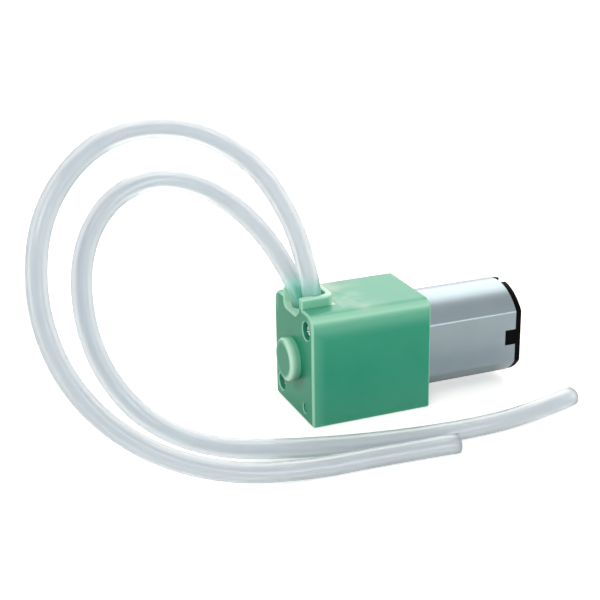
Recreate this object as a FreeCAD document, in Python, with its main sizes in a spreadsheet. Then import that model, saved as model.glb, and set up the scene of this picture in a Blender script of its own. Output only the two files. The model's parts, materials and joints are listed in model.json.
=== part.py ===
import FreeCAD, Part

import math
import os
import re

import Sketcher
from FreeCAD import Placement, Rotation, Vector

# Micro ring pump: a flatted gearmotor turns an eccentric that rolls a press ring round a loop
# of soft tube. Frame: origin at the centre of the housing's bottom face, +X along the motor
# axis from the pump end towards the motor, +Z up. Sizes are in millimetres.

driving_sizes = {
    # Pump housing
    "top_wall": 1.0,
    "bottom_wall": 0.76,
    "side_wall": 0.9,
    "front_wall": 0.7,
    "top_edge_radius": 1.4,
    "front_edge_radius": 0.45,
    "rear_edge_radius": 0.3,
    "lower_edge_radius": 0.3,
    "end_boss_radius": 2.65,
    "end_boss_length": 1.3,
    "end_boss_edge": 0.35,
    # Collar round the two tubes
    "collar_length": 4.35,
    "collar_width": 5.8,
    "collar_rise": 1.3,
    "collar_corner": 1.3,
    "collar_front_corner": 0.3,
    "collar_rear_wall": 0.7,
    "collar_side_wall": 0.7,
    "collar_rim_radius": 0.2,
    "collar_slot_depth": 2.3,
    "collar_slot_corner": 0.8,
    "notch_lip_width": 0.35,
    "notch_lip_height": 0.15,
    # Housing screws
    "screw_side_inset": 1.9,
    "screw_edge_inset": 2.2,
    "screw_shank_radius": 0.48,
    "screw_head_radius": 0.85,
    "screw_head_height": 0.4,
    "screw_head_recess": 0.5,
    "screw_head_clearance": 0.25,
    "screw_length": 8.0,
    "counterbore_lip": 0.2,
    "dimple_radius": 0.6,
    "dimple_depth": 0.2,
    "dimple_lip": 0.15,
    "dimple_side_inset": 2.5,
    "dimple_edge_inset": 1.7,
    # Gear case
    "case_round_margin": 0.1,
    "case_flat_margin": 0.05,
    "case_corner": 1.2,
    "case_fit": 0.05,
    "partition": 0.9,
    # Planetary stages
    "sun_teeth": 12,
    "planet_teeth": 12,
    "planet_count": 3,
    "pressure_angle": 25.0,
    "tooth_height_factor": 0.9,
    "tooth_depth_factor": 1.2,
    "tooth_backlash": 0.04,
    "ring_wall": 0.25,
    "gear_width": 1.4,
    "carrier_margin": 1.0,
    "carrier_thickness": 0.6,
    "planet_gap": 0.1,
    "stage_gap": 0.15,
    "sun_end_gap": 0.05,
    "train_end_gap": 0.4,
    "pin_radius": 0.45,
    "pin_overhang": 0.05,
    "planet_fit": 0.03,
    # Rotor
    "rotor_shaft_radius": 0.8,
    "rotor_bush_wall": 0.52,
    "front_bush_depth": 1.0,
    "shaft_recess": 0.15,
    "shaft_chamfer": 0.1,
    "cam_radius": 2.5,
    "eccentricity": 0.6,
    "washer_radius": 1.6,
    "washer_thickness": 0.2,
    "washer_gap": 0.1,
    "press_ring_wall": 0.52,
    "running_fit": 0.03,
    # Tubes
    "tube_radius": 1.15,
    "tube_bore_radius": 0.5,
    "tube_bore_length": 2.8,
    "tube_clearance": 0.05,
    "tube_side_gap": 0.05,
    "pinch_gap": 1.25,
    "channel_clearance": 0.1,
    "channel_overrun": 1.0,
    # Motor
    "motor_radius": 6.0,
    "motor_half_flat": 5.0,
    "motor_seat_gap": 0.12,
    "motor_seat_depth": 1.45,
    "can_length": 13.88,
    "can_wall": 0.5,
    "can_crease_radius": 0.5,
    "plate_thickness": 0.6,
    "plate_bore_margin": 0.9,
    "motor_screw_inset": 2.0,
    "motor_screw_radius": 0.4,
    "motor_screw_head_radius": 0.7,
    "motor_screw_length": 1.1,
    "end_bell_rim": 0.8,
    "end_bell_plug": 1.44,
    "end_bell_inset": 0.06,
    "end_bell_bore_gap": 0.2,
    "side_tab_width": 2.0,
    "terminal_notch_width": 1.6,
    "terminal_notch_depth": 0.9,
    "terminal_thickness": 0.3,
    "terminal_side_gap": 0.15,
    "rear_boss_radius": 1.9,
    "rear_boss_length": 0.8,
    "motor_shaft_radius": 0.5,
    "motor_bush_wall": 0.47,
    "motor_bush_length": 1.2,
    "magnet_thickness": 1.25,
    "magnet_side_gap": 0.5,
    "magnet_overhang": 0.25,
    "air_gap": 0.3,
    "pole_count": 3,
    "core_start": 2.7,
    "core_end_gap": 1.2,
    "core_hub_radius": 1.3,
    "core_shoe": 0.6,
    "core_arm_width": 1.2,
    "core_slot_width": 0.8,
    "winding_overhang": 0.5,
    "winding_gap": 0.04,
    "commutator_radius": 1.4,
    "commutator_length": 1.4,
    "commutator_gap": 0.3,
    "commutator_slot": 0.15,
    "commutator_slot_depth": 0.3,
    "brush_thickness": 0.15,
    "brush_width": 1.2,
    "brush_front_gap": 0.1,
    # How far a cutting tool runs past the face that it cuts through
    "overcut": 0.5,
}

# Places along X and other lengths that follow from the driving dimensions.
derived_sizes = {
    "case_half_height": "motor_radius + case_round_margin",
    "case_half_width": "motor_half_flat + case_flat_margin",
    "housing_width": "2 * (case_half_width + case_fit + side_wall)",
    "axis_height": "bottom_wall + case_fit + case_half_height",
    "housing_height": "axis_height + case_half_height + case_fit + top_wall",
    "chamber_depth": "4 * tube_radius + 3 * tube_side_gap",
    "stage_pitch": "stage_gap + carrier_thickness + planet_gap + gear_width",
    "train_length": "3 * stage_pitch + train_end_gap + plate_thickness",
    "housing_length": "front_wall + chamber_depth + partition + train_length + motor_seat_depth",
    "front": "-housing_length / 2",
    "rear": "housing_length / 2",
    "chamber_front": "front + front_wall",
    "case_front": "chamber_front + chamber_depth",
    "partition_rear": "case_front + partition",
    "stage3_plate": "partition_rear + stage_gap",
    "stage3_gears": "stage3_plate + carrier_thickness + planet_gap",
    "stage2_plate": "stage3_gears + gear_width + stage_gap",
    "stage2_gears": "stage2_plate + carrier_thickness + planet_gap",
    "stage1_plate": "stage2_gears + gear_width + stage_gap",
    "stage1_gears": "stage1_plate + carrier_thickness + planet_gap",
    "motor_plate_front": "stage1_gears + gear_width + train_end_gap",
    "motor_front": "motor_plate_front + plate_thickness",
    "can_rear": "motor_front + can_length",
    "bell_rear": "can_rear + end_bell_rim",
    "boss_rear": "bell_rear + rear_boss_length",
    "plug_front": "can_rear - end_bell_plug",
    "screw_spread_y": "housing_width / 2 - screw_side_inset",
    "screw_low": "screw_edge_inset",
    "screw_high": "housing_height - screw_edge_inset",
    "counterbore_radius": "screw_head_radius + screw_head_clearance",
    "counterbore_depth": "screw_head_height + screw_head_recess",
    "collar_top": "housing_height + collar_rise",
    "collar_slot_end": "collar_length - collar_rear_wall",
    "collar_slot_width": "collar_width - 2 * collar_side_wall",
    "collar_slot_floor": "collar_top - collar_slot_depth",
    "dimple_y": "dimple_side_inset - housing_width / 2",
    "rotor_bush_radius": "rotor_shaft_radius + running_fit + rotor_bush_wall",
    "press_ring_radius": "cam_radius + running_fit + press_ring_wall",
    "chamber_radius": "press_ring_radius + eccentricity + pinch_gap",
    "cam_end_gap": "washer_thickness + washer_gap",
    "cam_front": "chamber_front + cam_end_gap",
    "cam_length": "chamber_depth - 2 * cam_end_gap",
    "ring_teeth": "sun_teeth + 2 * planet_teeth",
    "gear_module": "(case_half_width - ring_wall) / (ring_teeth / 2 + tooth_depth_factor)",
    "tooth_height": "tooth_height_factor * gear_module",
    "tooth_depth": "tooth_depth_factor * gear_module",
    "planet_orbit": "gear_module * (sun_teeth + planet_teeth) / 2",
    "carrier_radius": "planet_orbit + carrier_margin",
    "motor_screw_spread": "motor_radius - motor_screw_inset",
    "motor_bush_radius": "motor_shaft_radius + running_fit + motor_bush_wall",
    "magnet_outer_radius": "motor_radius - can_wall - case_fit",
    "magnet_inner_radius": "magnet_outer_radius - magnet_thickness",
    "magnet_half_width": "motor_half_flat - can_wall - magnet_side_gap",
    "core_radius": "magnet_inner_radius - air_gap",
    "commutator_front": "plug_front - commutator_gap - commutator_length",
    "core_front": "motor_front + core_start",
    "core_length": "commutator_front - core_front - core_end_gap",
    "brush_length": "commutator_gap + commutator_length - brush_front_gap",
}

# Routes of the two free tubes, from the pump's collar to the free end. They are chosen by hand
# from the photographed curves: x, y, z in the part's frame.
table_level = 1.16
inlet_route = [
    (-5.28, 1.5, 10.9),
    (-5.88, 1.2, 13.1),
    (-7.6, 1.0, 17.5),
    (-11.6, 0.3, 24.0),
    (-17.6, -0.5, 29.6),
    (-23.9, -1.1, 31.8),
    (-29.6, -2.0, 30.1),
    (-33.2, -3.1, 25.1),
    (-34.0, -4.5, 18.2),
    (-32.5, -6.2, 11.6),
    (-28.4, -8.0, 5.7),
    (-21.6, -9.8, 2.0),
    (-12.3, -12.1, table_level),
    (-1.2, -14.7, table_level),
    (10.5, -15.6, table_level),
    (18.6, -14.1, table_level),
    (23.9, -12.5, table_level),
]
outlet_route = [
    (-4.9, -1.5, 10.9),
    (-5.5, -1.2, 13.6),
    (-6.0, -1.0, 17.7),
    (-7.8, -0.6, 24.6),
    (-12.4, -0.7, 32.2),
    (-20.7, -1.9, 37.4),
    (-30.5, -4.4, 37.8),
    (-37.9, -7.5, 31.8),
    (-40.1, -10.5, 22.6),
    (-37.8, -13.3, 13.6),
    (-31.3, -15.4, 6.4),
    (-22.2, -16.9, 2.3),
    (-12.7, -17.4, table_level),
    (-3.4, -17.5, table_level),
    (5.1, -18.2, table_level),
]
# Share of the first run of each route that belongs to the loop inside the pump.
loop_share = 0.5
# Share of the shorter run that the arc at a corner takes up.
setback_share = 0.45

full_turn = 360
touching = 0.01
tiny = 1e-6
least_cut = 1e-4

doc = FreeCAD.newDocument("MicroRingPump")
sheet = doc.addObject("Spreadsheet::Sheet", "Sizes")
for row, (alias, amount) in enumerate(driving_sizes.items(), start=1):
    sheet.set(f"A{row}", alias.replace("_", " "))
    sheet.set(f"B{row}", str(amount))
    sheet.setAlias(f"B{row}", alias)
doc.recompute()


def expand(text):
    """Turn the names in a formula into references to the sheet's cells."""
    def reference(match):
        word = match.group(0)
        if word in driving_sizes:
            return f"Sizes.{word}"
        if word in derived_sizes:
            return f"({expand(derived_sizes[word])})"
        return word
    return re.sub(r"[a-z][a-z0-9_]*", reference, str(text))


def number(text):
    """The present value of a formula."""
    return float(sheet.evalExpression(expand(text)))


def bind(item, **formulas):
    for name, text in formulas.items():
        item.setExpression(name, expand(text))


def put(item, x="0", y="0", z="axis_height"):
    """Bind the place of an item without turning it."""
    for axis, text in zip("xyz", (x, y, z)):
        item.setExpression(f"Placement.Base.{axis}", expand(text))


# Solids from primitives

def rod(name, radius, length, x, y="0", z="axis_height"):
    """A cylinder that runs along +X from x."""
    item = doc.addObject("Part::Cylinder", name)
    bind(item, Radius=radius, Height=length)
    item.Placement = Placement(Vector(), Rotation(Vector(0, 1, 0), 90))
    put(item, x, y, z)
    return item


def block(name, length, width, height, x, y="0", z="axis_height"):
    """A box that starts at x and is centred on y and z."""
    item = doc.addObject("Part::Box", name)
    bind(item, Length=length, Width=width, Height=height)
    put(item, x, f"{y} - ({width}) / 2", f"{z} - ({height}) / 2")
    return item


def cut(name, base, tool):
    item = doc.addObject("Part::Cut", name)
    item.Base = base
    item.Tool = tool
    return item


def common(name, base, tool):
    item = doc.addObject("Part::Common", name)
    item.Base = base
    item.Tool = tool
    return item


def fuse(name, pieces):
    item = doc.addObject("Part::MultiFuse", name)
    item.Shapes = pieces
    return item


def group(name, pieces):
    """Separate solids that share one node."""
    item = doc.addObject("Part::Compound", name)
    item.Links = pieces
    return item


def rounded(name, radius, base, wanted):
    """Round the edges of a boolean's result for which the test holds."""
    doc.recompute()
    size = number(radius)
    item = doc.addObject("Part::Fillet", name)
    item.Base = base
    item.Edges = [
        (index, size, size)
        for index, edge in enumerate(base.Shape.Edges, start=1)
        if wanted(edge)
    ]
    return item


def flatted_rod(name, radius, half_flat, length, x):
    """A cylinder along the motor axis with two flats, front and back."""
    return common(
        name,
        rod(f"{name}_round", radius, length, x),
        block(f"{name}_flats", length, f"2 * ({half_flat})", f"2 * ({radius} + overcut)", x),
    )


# Sketched bodies

def new_body(name, x="0", y="0", z="0"):
    body = doc.addObject("PartDesign::Body", name)
    put(body, x, y, z)
    return body


def sketch_on(body, role, offset=None):
    plane = next(item for item in body.Origin.OriginFeatures if item.Role == role)
    sketch = body.newObject("Sketcher::SketchObject", f"{body.Name}_sketch")
    sketch.AttachmentSupport = [(plane, "")]
    sketch.MapMode = "FlatFace"
    if offset:
        sketch.setExpression("AttachmentOffset.Base.z", expand(offset))
    return sketch


def hold(sketch, edge, point, across, up):
    """Tie one point of the sketch to the origin by two formulas."""
    for kind, text in (("DistanceX", across), ("DistanceY", up)):
        rule = Sketcher.Constraint(kind, -1, 1, edge, point, number(text))
        index = sketch.addConstraint(rule)
        sketch.setExpression(f"Constraints[{index}]", expand(text))


def polygon(sketch, corners):
    first = sketch.GeometryCount
    points = [Vector(number(across), number(up), 0) for across, up in corners]
    last = len(points) - 1
    for index, start in enumerate(points):
        sketch.addGeometry(Part.LineSegment(start, points[(index + 1) % len(points)]))
    for index in range(len(points)):
        following = first + (0 if index == last else index + 1)
        sketch.addConstraint(Sketcher.Constraint("Coincident", first + index, 2, following, 1))
    for index, (across, up) in enumerate(corners):
        hold(sketch, first + index, 1, across, up)


def rectangle(sketch, left, right, low, high):
    polygon(sketch, [(left, low), (right, low), (right, high), (left, high)])


def circle(sketch, radius, across="0", up="0"):
    centre = Vector(number(across), number(up), 0)
    edge = sketch.addGeometry(Part.Circle(centre, Vector(0, 0, 1), number(radius)))
    hold(sketch, edge, 3, across, up)
    index = sketch.addConstraint(Sketcher.Constraint("Radius", edge, number(radius)))
    sketch.setExpression(f"Constraints[{index}]", expand(radius))


def pad(body, sketch, length, backward=False):
    feature = body.newObject("PartDesign::Pad", f"{body.Name}_pad")
    feature.Profile = sketch
    feature.Reversed = backward
    bind(feature, Length=length)
    sketch.Visibility = False
    doc.recompute()
    return feature


def pocket(body, sketch, depth, backward=False):
    """Cut along the sketch's normal, or against it when backward, and prove that it cut."""
    before = body.Shape.Volume
    feature = body.newObject("PartDesign::Pocket", f"{body.Name}_pocket")
    feature.Profile = sketch
    feature.Reversed = not backward
    bind(feature, Length=depth)
    doc.recompute()
    if body.Shape.Volume > before - least_cut:
        raise RuntimeError(f"{feature.Name} cuts nothing from {body.Name}")
    return feature


def revolved(name, profile, y="0", z="axis_height"):
    """A turned piece: its profile holds pairs of x and radius, and turns about the X axis."""
    body = new_body(name, "0", y, z)
    sketch = sketch_on(body, "XZ_Plane")
    polygon(sketch, profile)
    feature = body.newObject("PartDesign::Revolution", f"{name}_turn")
    feature.Profile = sketch
    feature.ReferenceAxis = (sketch, ["H_Axis"])
    feature.Angle = full_turn
    doc.recompute()
    return body


def sleeve(name, inner, outer, x, length, y="0", z="axis_height"):
    end = f"({x}) + ({length})"
    profile = [(x, inner), (end, inner), (end, outer), (x, outer)]
    return revolved(name, profile, y, z)


def around(body, feature, count):
    """Repeat a feature round the body's X axis."""
    axis = next(item for item in body.Origin.OriginFeatures if item.Role == "X_Axis")
    pattern = body.newObject("PartDesign::PolarPattern", f"{body.Name}_pattern")
    pattern.Originals = [feature]
    pattern.Axis = (axis, [""])
    pattern.Angle = full_turn
    bind(pattern, Occurrences=count)
    body.Tip = pattern
    doc.recompute()
    return pattern


def soften(body, radius, wanted):
    """Round the edges of a body for which the test holds."""
    base = body.Tip
    names = [
        f"Edge{index}"
        for index, edge in enumerate(base.Shape.Edges, start=1)
        if wanted(edge)
    ]
    feature = body.newObject("PartDesign::Fillet", f"{body.Name}_round")
    feature.Base = (base, names)
    bind(feature, Radius=radius)
    doc.recompute()
    return feature


def full_circle(edge, radius, x):
    """True for a circle of the given radius that lies in the plane at x."""
    box = edge.BoundBox
    is_circle = abs(edge.Length - 2 * math.pi * number(radius)) < tiny
    return is_circle and max(abs(box.XMin - x), abs(box.XMax - x)) < tiny


def straight_along(edge, axis):
    """True for a straight edge that runs along x, y or z."""
    if len(edge.Vertexes) != 2:
        return False
    way = edge.Vertexes[1].Point - edge.Vertexes[0].Point
    is_straight = abs(way.Length - edge.Length) < tiny
    return is_straight and abs(abs(getattr(way, axis)) - way.Length) < tiny


# Tubes: straight runs joined by tangent arcs

def tube_path(points):
    """Return the wire, its length and the radius of each arc."""
    corners = [Vector(*point) for point in points]
    edges = []
    radii = []
    start = corners[0]
    for before, corner, after in zip(corners, corners[1:], corners[2:]):
        back = before - corner
        onward = after - corner
        run = min(back.Length, onward.Length)
        back.normalize()
        onward.normalize()
        half_turn = (math.pi - back.getAngle(onward)) / 2
        setback = setback_share * run
        radius = setback / math.tan(half_turn)
        inward = (back + onward).normalize()
        middle = corner + inward * (radius / math.cos(half_turn) - radius)
        arc_start = corner + back * setback
        arc_end = corner + onward * setback
        edges.append(Part.LineSegment(start, arc_start).toShape())
        edges.append(Part.Arc(arc_start, middle, arc_end).toShape())
        radii.append(radius)
        start = arc_end
    edges.append(Part.LineSegment(start, corners[-1]).toShape())
    wire = Part.Wire(edges)
    return wire, wire.Length, radii


def tube_solid(name, points, radius):
    """Sweep a round section along the path and compare its volume with section times length."""
    wire, length, radii = tube_path(points)
    start = Vector(*points[0])
    heading = Vector(*points[1]) - start
    section = Part.Wire([Part.makeCircle(radius, start, heading)])
    solid = wire.makePipeShell([section], True, False)
    expected = math.pi * radius * radius * length
    listing = ", ".join(f"{value:.1f}" for value in radii)
    print(f"{name}: length {length:.1f}, volume {solid.Volume:.2f} of {expected:.2f}, radii {listing}")
    if abs(solid.Volume - expected) > 0.01 * expected:
        raise RuntimeError(f"{name} doesn't fill its section along its route")
    return solid


def channel(name, start, end):
    """A straight drilling round one run of a route, a little longer than the run."""
    start, end = Vector(*start), Vector(*end)
    heading = (end - start).normalize()
    overrun = number("channel_overrun")
    length = (end - start).Length + 2 * overrun
    item = doc.addObject("Part::Cylinder", name)
    bind(item, Radius="tube_radius + channel_clearance")
    item.Height = length
    item.Placement = Placement(start - heading * overrun, Rotation(Vector(0, 0, 1), heading))
    return item


def feature_of(name, shape, placement=None):
    item = doc.addObject("Part::Feature", name)
    item.Shape = shape
    if placement:
        item.Placement = placement
    return item


def share_point(start, end, share):
    return tuple(a + (b - a) * share for a, b in zip(start, end))


def loop_points():
    """The loop's turns inside the chamber, from the inlet's neck to the outlet's neck."""
    first_angle = 45
    steps = 8
    step_angle = (full_turn - 2 * first_angle) / steps
    bow = 1 - math.cos(math.radians(step_angle / 2))
    arc_share = 1 - 2 * setback_share * bow
    outermost = number("chamber_radius - tube_clearance - tube_radius")
    radius = outermost / arc_share
    first_x = number("chamber_front + tube_side_gap + tube_radius")
    last_x = number("case_front - tube_side_gap - tube_radius")
    height = number("axis_height")
    points = [share_point(inlet_route[0], inlet_route[1], loop_share), inlet_route[0]]
    for step in range(steps + 1):
        angle = math.radians(first_angle + step * step_angle)
        x = first_x + (last_x - first_x) * step / steps
        reach = outermost if step in (0, steps) else radius
        points.append((x, reach * math.sin(angle), height + reach * math.cos(angle)))
    points.append(outlet_route[0])
    points.append(share_point(outlet_route[0], outlet_route[1], loop_share))
    return points


# Gears: involute flanks, each drawn as two chords

def involute(angle):
    return math.tan(angle) - angle


def tooth_ring(teeth, inner, outer, half_thickness, phase):
    """Corners of a closed outline with one tooth centred on the phase angle."""
    pitch_radius = teeth * number("gear_module") / 2
    pressure = math.radians(number("pressure_angle"))
    base_radius = pitch_radius * math.cos(pressure)
    half_at_pitch = half_thickness / pitch_radius

    def half_angle(radius):
        roll = math.acos(min(1, base_radius / radius))
        return half_at_pitch + involute(pressure) - involute(roll)

    corners = []
    for tooth in range(teeth):
        middle = phase + 2 * math.pi * tooth / teeth
        flank = [(radius, half_angle(radius)) for radius in (inner, pitch_radius, outer)]
        corners += [(radius, middle - half) for radius, half in flank]
        corners += [(radius, middle + half) for radius, half in reversed(flank)]
    points = [Vector(0, r * math.cos(a), r * math.sin(a)) for r, a in corners]
    return Part.Wire(Part.makePolygon(points + points[:1]))


def gear_shape(teeth, phase, length, bore):
    """An external gear that runs from the origin along +X."""
    quarter_pitch = math.pi * number("gear_module") / 4
    pitch_radius = teeth * number("gear_module") / 2
    outline = tooth_ring(
        teeth,
        pitch_radius - number("tooth_depth"),
        pitch_radius + number("tooth_height"),
        quarter_pitch - number("tooth_backlash") / 2,
        phase,
    )
    solid = Part.Face(outline).extrude(Vector(length, 0, 0))
    if bore:
        solid = solid.cut(Part.makeCylinder(bore, length, Vector(), Vector(1, 0, 0)))
    return solid


def planet_angles():
    count = int(number("planet_count"))
    return [2 * math.pi * index / count for index in range(count)]


def at_axis(x, y=0.0, z=0.0):
    return Placement(Vector(x, y, number("axis_height") + z), Rotation())


# Housing and gear case

def make_pump_housing():
    body = new_body("housing_blank")
    half_width = "housing_width / 2"

    sketch = sketch_on(body, "YZ_Plane", "front")
    rectangle(sketch, f"-{half_width}", half_width, "0", "housing_height")
    pad(body, sketch, "housing_length")
    height = number("housing_height")
    front = number("front")
    rear = number("rear")
    soften(body, "top_edge_radius", lambda e: straight_along(e, "x")
           and e.BoundBox.ZMin > height - touching)
    soften(body, "lower_edge_radius", lambda e: straight_along(e, "x")
           and e.BoundBox.ZMax < touching)
    soften(body, "front_edge_radius", lambda e: e.BoundBox.XMax < front + touching)
    soften(body, "rear_edge_radius", lambda e: e.BoundBox.XMin > rear - touching)

    add_collar(body)

    sketch = sketch_on(body, "YZ_Plane", "front")
    circle(sketch, "end_boss_radius", "0", "axis_height")
    pad(body, sketch, "end_boss_length", backward=True)
    boss_end = number("front - end_boss_length")
    soften(body, "end_boss_edge", lambda e: e.BoundBox.XMax < boss_end + touching)

    sketch = sketch_on(body, "YZ_Plane", "case_front")
    rectangle(sketch, "-case_half_width - case_fit", "case_half_width + case_fit",
              "axis_height - case_half_height - case_fit",
              "axis_height + case_half_height + case_fit")
    pocket(body, sketch, "rear - case_front")
    cavity_front = number("case_front")
    cavity_side = number("case_half_width + case_fit")
    soften(body, "case_corner", lambda e: straight_along(e, "x")
           and abs(e.BoundBox.XMin - cavity_front) < touching
           and abs(abs(e.BoundBox.YMin) - cavity_side) < touching)

    sketch = sketch_on(body, "YZ_Plane", "chamber_front")
    circle(sketch, "chamber_radius", "0", "axis_height")
    pocket(body, sketch, "chamber_depth")

    sketch = sketch_on(body, "YZ_Plane", "front - front_bush_depth")
    circle(sketch, "rotor_bush_radius", "0", "axis_height")
    pocket(body, sketch, "front_bush_depth + front_wall")

    holes = (("-screw_spread_y", "screw_high"), ("screw_spread_y", "screw_low"))
    sketch = sketch_on(body, "YZ_Plane", "front")
    for across, up in holes:
        circle(sketch, "counterbore_radius", across, up)
    pocket(body, sketch, "counterbore_depth")
    soften(body, "counterbore_lip", lambda e: full_circle(e, "counterbore_radius", front))
    sketch = sketch_on(body, "YZ_Plane", "front")
    for across, up in holes:
        circle(sketch, "screw_shank_radius + case_fit", across, up)
    pocket(body, sketch, "case_front - front")

    sketch = sketch_on(body, "YZ_Plane", "front")
    circle(sketch, "dimple_radius", "dimple_y", "dimple_edge_inset")
    pocket(body, sketch, "dimple_depth")
    soften(body, "dimple_lip", lambda e: full_circle(e, "dimple_radius", front))

    hollows = slot_tools()
    turns = loop_points()
    for side, neck, route in (("inlet", turns[2], inlet_route), ("outlet", turns[-3], outlet_route)):
        hollows.append(channel(f"{side}_neck_channel", neck, route[0]))
        hollows.append(channel(f"{side}_lower_channel", route[0], route[1]))
        hollows.append(channel(f"{side}_upper_channel", route[1], route[2]))
    return cut("pump_housing", body, fuse("tube_hollows", hollows))


def add_collar(body):
    """The raised collar round the tubes, flush with the front, and the lip of its notch."""
    sketch = sketch_on(body, "XY_Plane", "housing_height / 2")
    rectangle(sketch, "front", "front + collar_length", "-collar_width / 2", "collar_width / 2")
    pad(body, sketch, "housing_height / 2 + collar_rise")
    foot = number("housing_height - 2 * top_edge_radius")
    top = number("collar_top")
    middle = number("front + collar_length / 2")

    def upright(edge):
        return straight_along(edge, "z") and edge.BoundBox.ZMin > foot

    soften(body, "collar_corner", lambda e: upright(e) and e.BoundBox.XMin > middle)
    soften(body, "collar_front_corner", lambda e: upright(e) and e.BoundBox.XMax < middle
           and e.BoundBox.ZMax > top - touching)
    soften(body, "collar_rim_radius", lambda e: e.BoundBox.ZMin > top - touching)

    outer = "collar_slot_width / 2 + notch_lip_width"
    sketch = sketch_on(body, "YZ_Plane", "front")
    rectangle(sketch, f"-{outer}", outer, "collar_slot_floor - notch_lip_width",
              "collar_top - collar_rim_radius")
    pad(body, sketch, "notch_lip_height", backward=True)
    lowest = number("collar_slot_floor - notch_lip_width")
    front = number("front")
    soften(body, "collar_slot_corner", lambda e: straight_along(e, "x")
           and abs(e.BoundBox.ZMin - lowest) < touching and e.BoundBox.XMax < front + touching)


def slot_tools():
    """The slot for the tubes, and the notch that opens it at the front."""
    notch = block("notch_bar", "notch_lip_height + front_wall + collar_slot_corner",
                  "collar_slot_width", "2 * collar_slot_depth", "front - notch_lip_height", "0",
                  "collar_top")
    slot = block("slot_bar", "collar_slot_end - front_wall", "collar_slot_width",
                 "2 * collar_slot_depth", "front + front_wall", "0", "collar_top")
    slot_end = number("front + collar_slot_end")
    return [
        rounded("notch_tool", "collar_slot_corner", notch, lambda e: straight_along(e, "x")),
        rounded("slot_tool", "collar_slot_corner", slot, lambda e: straight_along(e, "z")
                and abs(e.BoundBox.XMin - slot_end) < touching),
    ]


def make_gear_case():
    body = new_body("case_blank")
    sketch = sketch_on(body, "YZ_Plane", "case_front")
    rectangle(sketch, "-case_half_width", "case_half_width",
              "axis_height - case_half_height", "axis_height + case_half_height")
    pad(body, sketch, "rear - case_front")
    soften(body, "case_corner", lambda e: straight_along(e, "x"))
    sketch = sketch_on(body, "YZ_Plane", "case_front")
    circle(sketch, "rotor_bush_radius", "0", "axis_height")
    pocket(body, sketch, "partition")
    sketch = sketch_on(body, "YZ_Plane", "case_front")
    circle(sketch, "screw_shank_radius", "-screw_spread_y", "screw_high")
    circle(sketch, "screw_shank_radius", "screw_spread_y", "screw_low")
    pocket(body, sketch, "screw_length + counterbore_depth - (case_front - front)")

    teeth = int(number("ring_teeth"))
    pitch_radius = teeth * number("gear_module") / 2
    outline = tooth_ring(
        teeth,
        pitch_radius - number("tooth_height"),
        pitch_radius + number("tooth_depth"),
        math.pi * number("gear_module") / 4 + number("tooth_backlash") / 2,
        math.pi / teeth,
    )
    depth = number("motor_plate_front - partition_rear")
    toothed_bore = feature_of("toothed_bore", Part.Face(outline).extrude(Vector(depth, 0, 0)),
                              at_axis(number("partition_rear")))
    seat = flatted_rod("motor_seat", "motor_radius + motor_seat_gap",
                       "motor_half_flat + motor_seat_gap", "rear - motor_plate_front",
                       "motor_plate_front")
    return cut("gear_case", body, fuse("case_hollows", [toothed_bore, seat]))


def make_housing_screws():
    seat = "front + counterbore_depth"
    head_front = f"{seat} - screw_head_height"
    tip = f"{seat} + screw_length"
    profile = [
        (head_front, "0"), (tip, "0"), (tip, "screw_shank_radius"),
        (seat, "screw_shank_radius"), (seat, "screw_head_radius"),
        (f"{head_front} + screw_head_height / 3", "screw_head_radius"),
        (head_front, "screw_head_radius * 0.75"),
    ]
    return group("housing_screws", [
        revolved("upper_screw", profile, "-screw_spread_y", "screw_high"),
        revolved("lower_screw", profile, "screw_spread_y", "screw_low"),
    ])


# Rotor

def make_rotor_front_bush():
    return sleeve("rotor_front_bush", "rotor_shaft_radius + running_fit", "rotor_bush_radius",
                  "front - front_bush_depth", "front_bush_depth + front_wall")


def make_rotor_rear_bush():
    return sleeve("rotor_rear_bush", "rotor_shaft_radius + running_fit", "rotor_bush_radius",
                  "case_front", "partition")


def make_rotor_shaft():
    start = "front - front_bush_depth + shaft_recess"
    end = "stage3_plate + carrier_thickness"
    return revolved("rotor_shaft", [(start, "0"), (end, "0"), (end, "rotor_shaft_radius"),
                                    (f"{start} + shaft_chamfer", "rotor_shaft_radius"),
                                    (start, "rotor_shaft_radius - shaft_chamfer")])


def make_eccentric_cam():
    return cut("eccentric_cam",
               rod("cam_disc", "cam_radius", "cam_length", "cam_front",
                   "0", "axis_height - eccentricity"),
               rod("cam_bore", "rotor_shaft_radius", "cam_length", "cam_front"))


def make_thrust_washers():
    return group("thrust_washers", [
        sleeve("front_washer", "rotor_shaft_radius", "washer_radius",
               "cam_front - washer_thickness", "washer_thickness"),
        sleeve("rear_washer", "rotor_shaft_radius", "washer_radius",
               "cam_front + cam_length", "washer_thickness"),
    ])


def make_press_ring():
    return sleeve("press_ring", "cam_radius + running_fit", "press_ring_radius",
                  "cam_front", "cam_length", "0", "axis_height - eccentricity")


# Planetary stages: each carrier holds its pins, and two of them hold the next stage's sun

def make_carrier(stage, bore):
    name = f"stage{stage}_carrier"
    body = new_body(f"{name}_plate", "0", "0", "axis_height")
    sketch = sketch_on(body, "YZ_Plane", f"stage{stage}_plate")
    circle(sketch, "carrier_radius")
    if bore:
        circle(sketch, bore)
    pad(body, sketch, "carrier_thickness")
    sketch = sketch_on(body, "YZ_Plane", f"stage{stage}_plate")
    circle(sketch, "pin_radius", "planet_orbit")
    hole = pocket(body, sketch, "carrier_thickness")
    around(body, hole, "planet_count")
    if stage == 3:
        body.Label = name
        return body
    length = number("gear_width + stage_gap - sun_end_gap")
    sun = feature_of(f"stage{stage + 1}_sun", gear_shape(int(number("sun_teeth")), 0, length, 0),
                     at_axis(number(f"stage{stage}_plate") - length))
    return fuse(name, [body, sun])


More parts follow.
